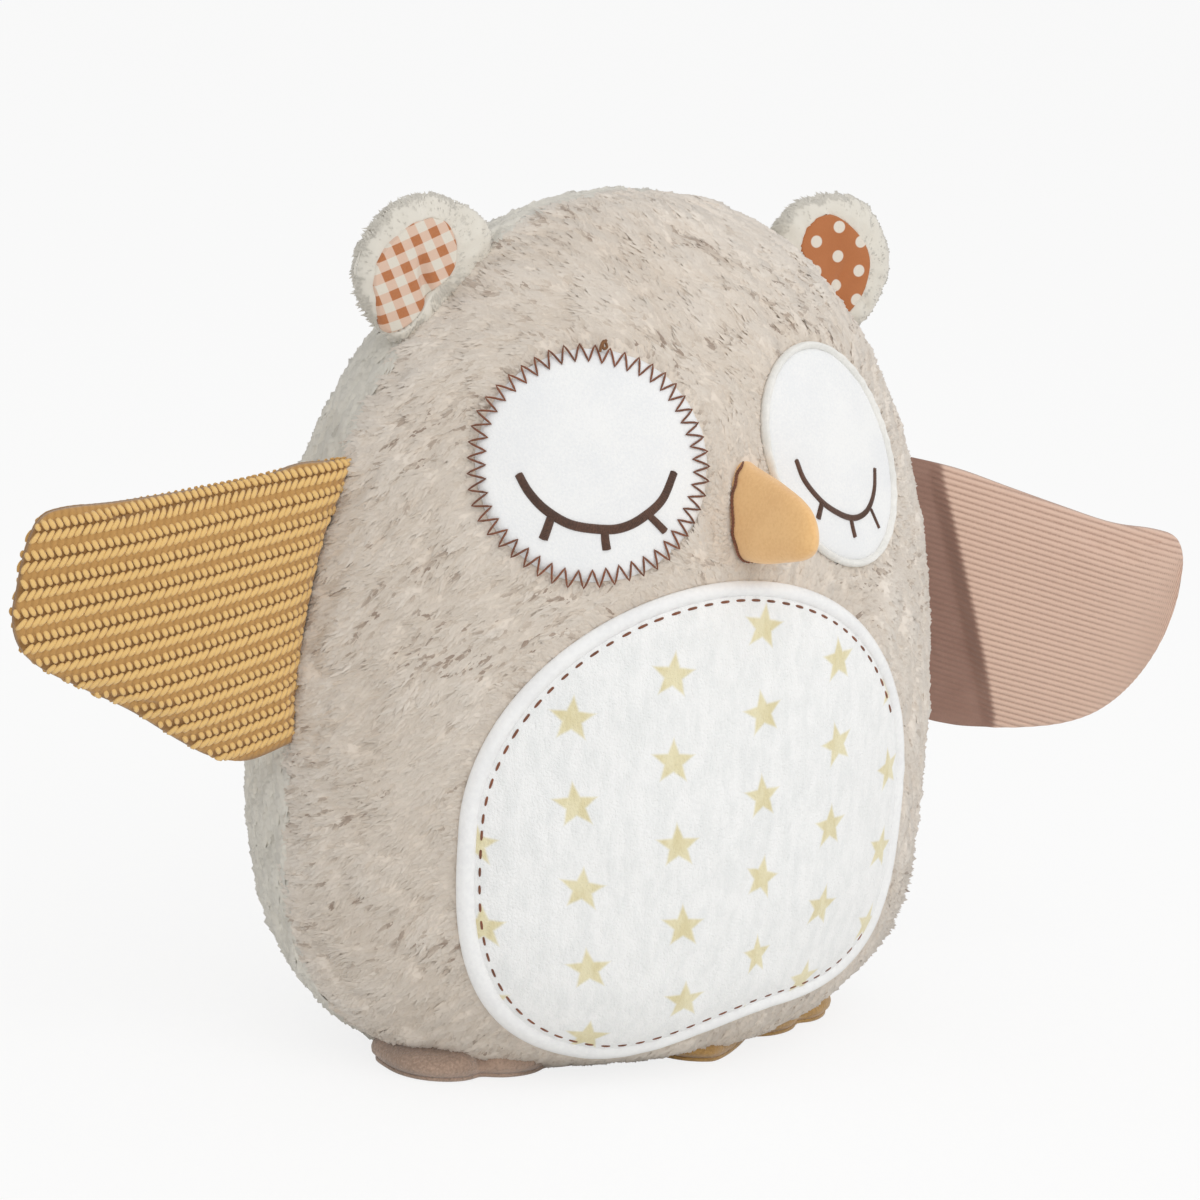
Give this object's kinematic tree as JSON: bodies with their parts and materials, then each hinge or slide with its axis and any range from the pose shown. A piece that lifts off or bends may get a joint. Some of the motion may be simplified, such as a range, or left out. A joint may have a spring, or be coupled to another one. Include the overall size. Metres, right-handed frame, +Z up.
{
  "type": "plush owl",
  "caption": "Standing plush owl with a rounded furry body, a starred belly patch, closed eyes, a soft beak, round ears, spread cloth wings and small toed feet.",
  "frame": {"origin": "on the floor in the flat base panel, on the owl's middle plane and in line with its side seams", "axes": "+Z up, the owl faces -Y, and its own left is +X"},
  "size_m": [0.3869, 0.2039, 0.2572],
  "materials": {
    "fur": "short soft fur",
    "fur_grey": "short soft fur",
    "filling": "loose fibre",
    "calico": "plain weave",
    "minky": "short smooth pile",
    "satin": "satin",
    "felt": "felt",
    "suede": "brushed",
    "gingham": "woven check",
    "rust": "woven, dotted",
    "knit": "chunky rib knit",
    "corduroy": "needlecord",
    "mauve": "velour",
    "mustard": "velour"
  },
  "bodies": {
    "body": {"front_panel": "fur", "back_panel_right": "fur_grey", "back_panel_left": "fur_grey", "base_panel": "fur_grey", "body_stuffing": "filling", "pellet_bag": "calico", "belly_patch": "minky", "belly_edging": "satin", "eye_patch_right": "felt", "eye_patch_left": "felt", "eye_edging_left": "satin", "beak_cover": "suede", "beak_stuffing": "filling"},
    "ear_right": {"ear_right_cover": "fur", "ear_right_lining": "gingham", "ear_right_stuffing": "filling"},
    "wing_right": {"wing_right_front": "knit", "wing_right_back": "knit", "wing_right_stuffing": "filling"},
    "foot_right": {"foot_right_sole": "mauve", "foot_right_top": "mauve", "foot_right_stuffing": "filling"},
    "ear_left": {"ear_left_cover": "fur", "ear_left_lining": "rust", "ear_left_stuffing": "filling"},
    "wing_left": {"wing_left_front": "corduroy", "wing_left_back": "corduroy", "wing_left_stuffing": "filling"},
    "foot_left": {"foot_left_sole": "mustard", "foot_left_top": "mustard", "foot_left_stuffing": "filling"}
  },
  "joints": [
    {"name": "wing_right_swing", "type": "hinge", "parent": "body", "child": "wing_right", "pos_m": [-0.11379, 0, 0.09778], "axis": [0.1691, 0, 0.9856], "range_deg": [-55, 55], "stiffness_Nm_per_rad": 0.02},
    {"name": "wing_left_swing", "type": "hinge", "parent": "body", "child": "wing_left", "pos_m": [0.11379, 0, 0.09778], "axis": [-0.1691, 0, 0.9856], "range_deg": [-35, 70], "stiffness_Nm_per_rad": 0.02},
    {"name": "ear_right_bend", "type": "hinge", "parent": "body", "child": "ear_right", "pos_m": [-0.06479, 0.006, 0.22976], "axis": [0.7031, 0, 0.711], "range_deg": [-15, 15], "stiffness_Nm_per_rad": 0.02},
    {"name": "ear_left_bend", "type": "hinge", "parent": "body", "child": "ear_left", "pos_m": [0.06479, 0.006, 0.22976], "axis": [-0.7031, 0, 0.711], "range_deg": [-15, 15], "stiffness_Nm_per_rad": 0.02},
    {"name": "foot_right_droop", "type": "hinge", "parent": "body", "child": "foot_right", "pos_m": [-0.045, 0.013, 0.0014], "axis": [1, 0, 0], "range_deg": [0, 30], "stiffness_Nm_per_rad": 0.02},
    {"name": "foot_left_droop", "type": "hinge", "parent": "body", "child": "foot_left", "pos_m": [0.0404, 0.01594, 0.0014], "axis": [0.9703, 0.2419, 0], "range_deg": [0, 30], "stiffness_Nm_per_rad": 0.02}
  ]
}
